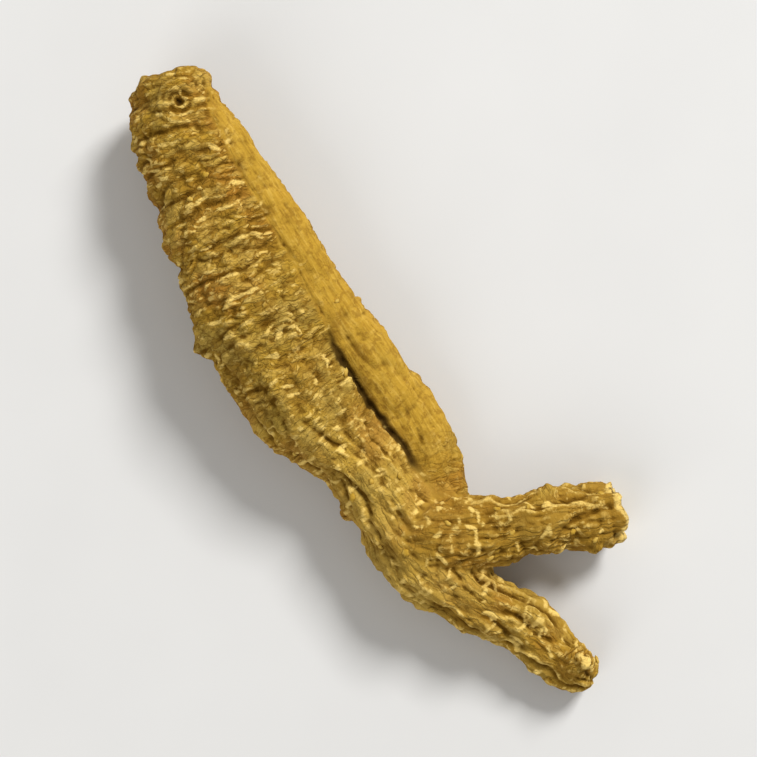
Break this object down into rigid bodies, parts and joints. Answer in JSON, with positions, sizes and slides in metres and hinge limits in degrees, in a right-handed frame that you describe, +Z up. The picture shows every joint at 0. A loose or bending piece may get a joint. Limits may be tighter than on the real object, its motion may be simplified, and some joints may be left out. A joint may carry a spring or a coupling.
{
  "type": "ginseng root",
  "caption": "Dried ginseng root lying on its side: a thick ringed trunk with a smooth lobe along its flank, forking into a tapered leg and a shorter leg cut off square.",
  "frame": {"origin": "on the resting face under the belly, the thickest place of the trunk", "axes": "+X from the head towards the tips of the legs, +Y towards the side leg, +Z up as it lies"},
  "size_m": [0.0837, 0.0291, 0.0127],
  "materials": {
    "root_skin": "dry wrinkled bark-like skin, matt"
  },
  "bodies": {
    "root": {"root": "root_skin"}
  },
  "joints": []
}
